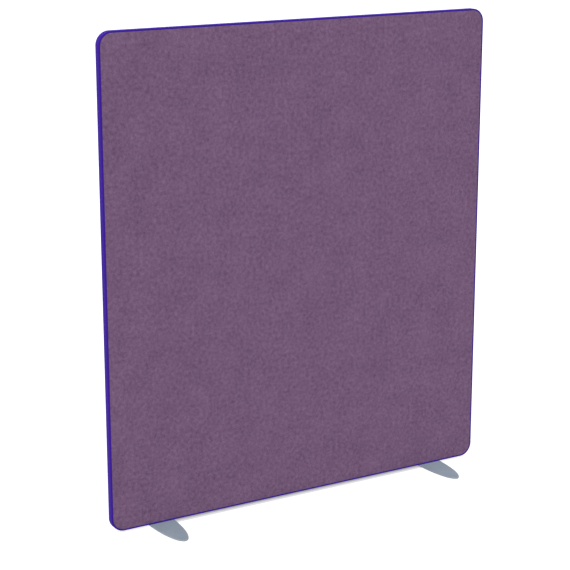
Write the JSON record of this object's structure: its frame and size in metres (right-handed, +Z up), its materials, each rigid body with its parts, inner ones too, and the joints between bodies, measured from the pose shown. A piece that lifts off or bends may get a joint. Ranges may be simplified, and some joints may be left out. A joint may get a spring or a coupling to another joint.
{
  "type": "acoustic divider screen",
  "caption": "Free-standing upholstered acoustic screen: a thin upright panel with rounded corners, a plastic moulding round its edge and flat elliptical steel feet.",
  "frame": {"origin": "on the floor under the middle of the panel, which is the bottom centre of the whole object's box", "axes": "+X along the panel's width, +Y through its thickness with the pictured face towards -Y, +Z up"},
  "size_m": [1.6, 0.4, 1.807],
  "materials": {
    "frame_timber": "planed softwood, bare",
    "dowel_beech": "bare beech",
    "felt_board": "rigid pressed polyester felt, matt",
    "wadding": "thin polyester wadding, matt",
    "felt_cover": "plum melange wool felt, matt",
    "trim_plastic": "blue-violet satin moulding",
    "foot_coating": "grey powder coat, satin",
    "bolt_zinc": "bright zinc",
    "insert_zinc": "yellowed zinc",
    "pad_rubber": "matt black"
  },
  "bodies": {
    "root": {"top_rail": "frame_timber", "bottom_rail": "frame_timber", "left_stile": "frame_timber", "right_stile": "frame_timber", "centre_stile": "frame_timber", "left_cross_rail": "frame_timber", "right_cross_rail": "frame_timber", "stile_dowels": "dowel_beech", "centre_stile_dowels": "dowel_beech", "cross_rail_dowels": "dowel_beech", "upper_left_board": "felt_board", "upper_right_board": "felt_board", "lower_left_board": "felt_board", "lower_right_board": "felt_board", "front_pad": "wadding", "back_pad": "wadding", "front_fabric": "felt_cover", "back_fabric": "felt_cover", "edge_trim": "trim_plastic", "left_foot": "foot_coating", "right_foot": "foot_coating", "left_foot_bolts": "bolt_zinc", "right_foot_bolts": "bolt_zinc", "left_inserts": "insert_zinc", "right_inserts": "insert_zinc", "left_foot_pads": "pad_rubber", "right_foot_pads": "pad_rubber"}
  },
  "joints": []
}
